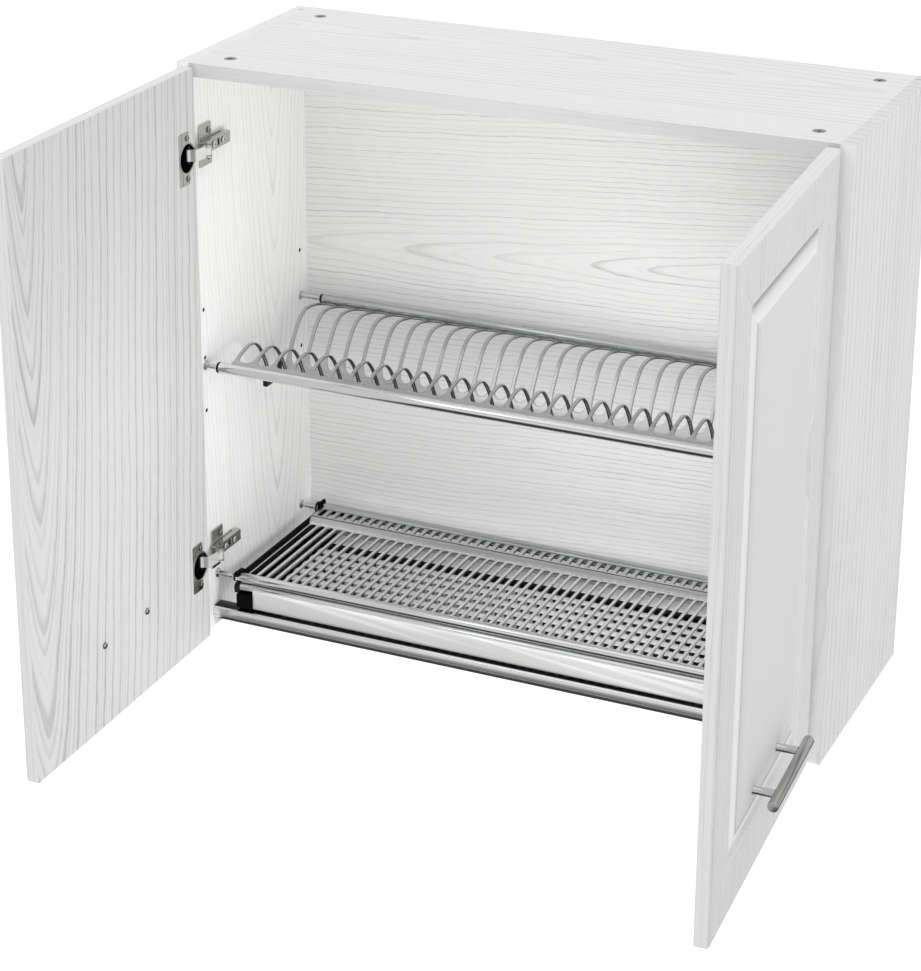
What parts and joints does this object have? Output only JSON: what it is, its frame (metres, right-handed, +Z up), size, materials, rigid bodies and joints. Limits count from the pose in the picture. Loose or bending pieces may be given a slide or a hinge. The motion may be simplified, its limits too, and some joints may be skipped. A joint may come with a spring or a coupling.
{
  "type": "wall dish drainer cabinet",
  "caption": "Wall-hung dish drainer cabinet with two profiled doors, a plate rack, a cup rack and a drip tray that slides out, on an open bottom.",
  "frame": {"origin": "middle of the two wall hanging holes, on the wall plane", "axes": "+X to the right as one faces the cabinet, +Y into the wall, +Z up"},
  "size_m": [0.8597, 0.7056, 0.72],
  "materials": {
    "board_film": "chipboard faced with a near-white open-grain film, fine grey grain lines, matt",
    "back_board": "thin fibreboard with the same near-white film, grain across, matt",
    "batten_board": "chipboard, plain film",
    "door_film": "profiled door in near-white open-grain film, smoother sunk-border field",
    "zinc_steel": "bright zinc plate",
    "beech": "fluted beech",
    "cam_zinc": "die-cast zinc, light grey",
    "rail_aluminium": "bright anodised extrusion",
    "black_plastic": "black moulded, fine grain",
    "screw_steel": "nickel plated",
    "stainless": "polished stainless sheet and tube",
    "nickel": "nickel plated pressed steel",
    "handle_steel": "satin brushed stainless bar"
  },
  "bodies": {
    "cabinet": {"back_panel": "back_board", "carcass_dowels": "beech", "connecting_bolts": "zinc_steel", "cup_rack_bracket_left": "black_plastic", "cup_rack_bracket_right": "black_plastic", "cup_rack_front_tube": "stainless", "cup_rack_rear_tube": "stainless", "cup_rack_sheet": "stainless", "front_rail": "rail_aluminium", "front_rail_blocks": "black_plastic", "front_rail_screws": "screw_steel", "hanging_bracket_left": "zinc_steel", "hanging_bracket_right": "zinc_steel", "hanging_bracket_screws": "zinc_steel", "hinge_arm_left_lower": "nickel", "hinge_arm_left_upper": "nickel", "hinge_arm_pins": "nickel", "hinge_arm_right_lower": "nickel", "hinge_arm_right_upper": "nickel", "hinge_arm_screws": "screw_steel", "hinge_plate_screws": "screw_steel", "hinge_plates_left": "nickel", "hinge_plates_right": "nickel", "plate_rack_clips": "black_plastic", "plate_rack_front_tube": "stainless", "plate_rack_rear_tube": "stainless", "plate_rack_sheet": "stainless", "rack_pins": "zinc_steel", "rack_tube_rings": "black_plastic", "rear_batten": "batten_board", "side_panel_left": "board_film", "side_panel_right": "board_film", "top_panel": "board_film"},
    "left_door": {"door_left": "door_film", "hinge_cups_left": "nickel", "hinge_cup_screws_left": "screw_steel", "hinge_cup_pins_left": "nickel", "handle_bar_left": "handle_steel", "handle_posts_left": "handle_steel", "handle_screws_left": "screw_steel"},
    "right_door": {"door_right": "door_film", "hinge_cups_right": "nickel", "hinge_cup_screws_right": "screw_steel", "hinge_cup_pins_right": "nickel", "handle_bar_right": "handle_steel", "handle_posts_right": "handle_steel", "handle_screws_right": "screw_steel"},
    "left_hinge_links": {"hinge_links_left": "nickel"},
    "right_hinge_links": {"hinge_links_right": "nickel"},
    "drip_tray": {"tray_pan": "stainless", "tray_front_rail": "stainless", "tray_side_rail_left": "black_plastic", "tray_side_rail_right": "black_plastic", "tray_end_caps": "black_plastic"},
    "cam_1": {"cam_lock_1": "cam_zinc"},
    "cam_2": {"cam_lock_2": "cam_zinc"},
    "cam_3": {"cam_lock_3": "cam_zinc"},
    "cam_4": {"cam_lock_4": "cam_zinc"}
  },
  "joints": [
    {"name": "left_hinge_links_turn", "type": "hinge", "parent": "cabinet", "child": "left_hinge_links", "pos_m": [-0.366, -0.292, -0.32], "axis": [0, 0, 1], "range_deg": [-35.76, 3.89]},
    {"name": "left_door_swing", "type": "hinge", "parent": "left_hinge_links", "child": "left_door", "pos_m": [-0.3772, -0.31719, -0.32], "axis": [0, 0, -1], "range_deg": [-124.46, 12.59]},
    {"name": "right_hinge_links_turn", "type": "hinge", "parent": "cabinet", "child": "right_hinge_links", "pos_m": [0.366, -0.292, -0.32], "axis": [0, 0, -1], "range_deg": [-37.55, 2.09]},
    {"name": "right_door_swing", "type": "hinge", "parent": "right_hinge_links", "child": "right_door", "pos_m": [0.3764, -0.31753, -0.32], "axis": [0, 0, 1], "range_deg": [-130.75, 6.29]},
    {"name": "drip_tray_slide", "type": "slide", "parent": "cabinet", "child": "drip_tray", "axis": [0, -1, 0], "range_m": [0, 0.165]},
    {"name": "cam_1_turn", "type": "hinge", "parent": "cabinet", "child": "cam_1", "pos_m": [-0.35, -0.263, 0.032], "axis": [0, 0, 1], "range_deg": [0, 180]},
    {"name": "cam_2_turn", "type": "hinge", "parent": "cabinet", "child": "cam_2", "pos_m": [0.35, -0.263, 0.032], "axis": [0, 0, 1], "range_deg": [0, 180]},
    {"name": "cam_3_turn", "type": "hinge", "parent": "cabinet", "child": "cam_3", "pos_m": [-0.35, -0.038, 0.032], "axis": [0, 0, 1], "range_deg": [0, 180]},
    {"name": "cam_4_turn", "type": "hinge", "parent": "cabinet", "child": "cam_4", "pos_m": [0.35, -0.038, 0.032], "axis": [0, 0, 1], "range_deg": [0, 180]}
  ],
  "couplings": [
    {"joint": "left_hinge_links_turn", "follows": "left_door_swing", "ratio": 0.28489},
    {"joint": "right_hinge_links_turn", "follows": "right_door_swing", "ratio": 0.28489}
  ]
}
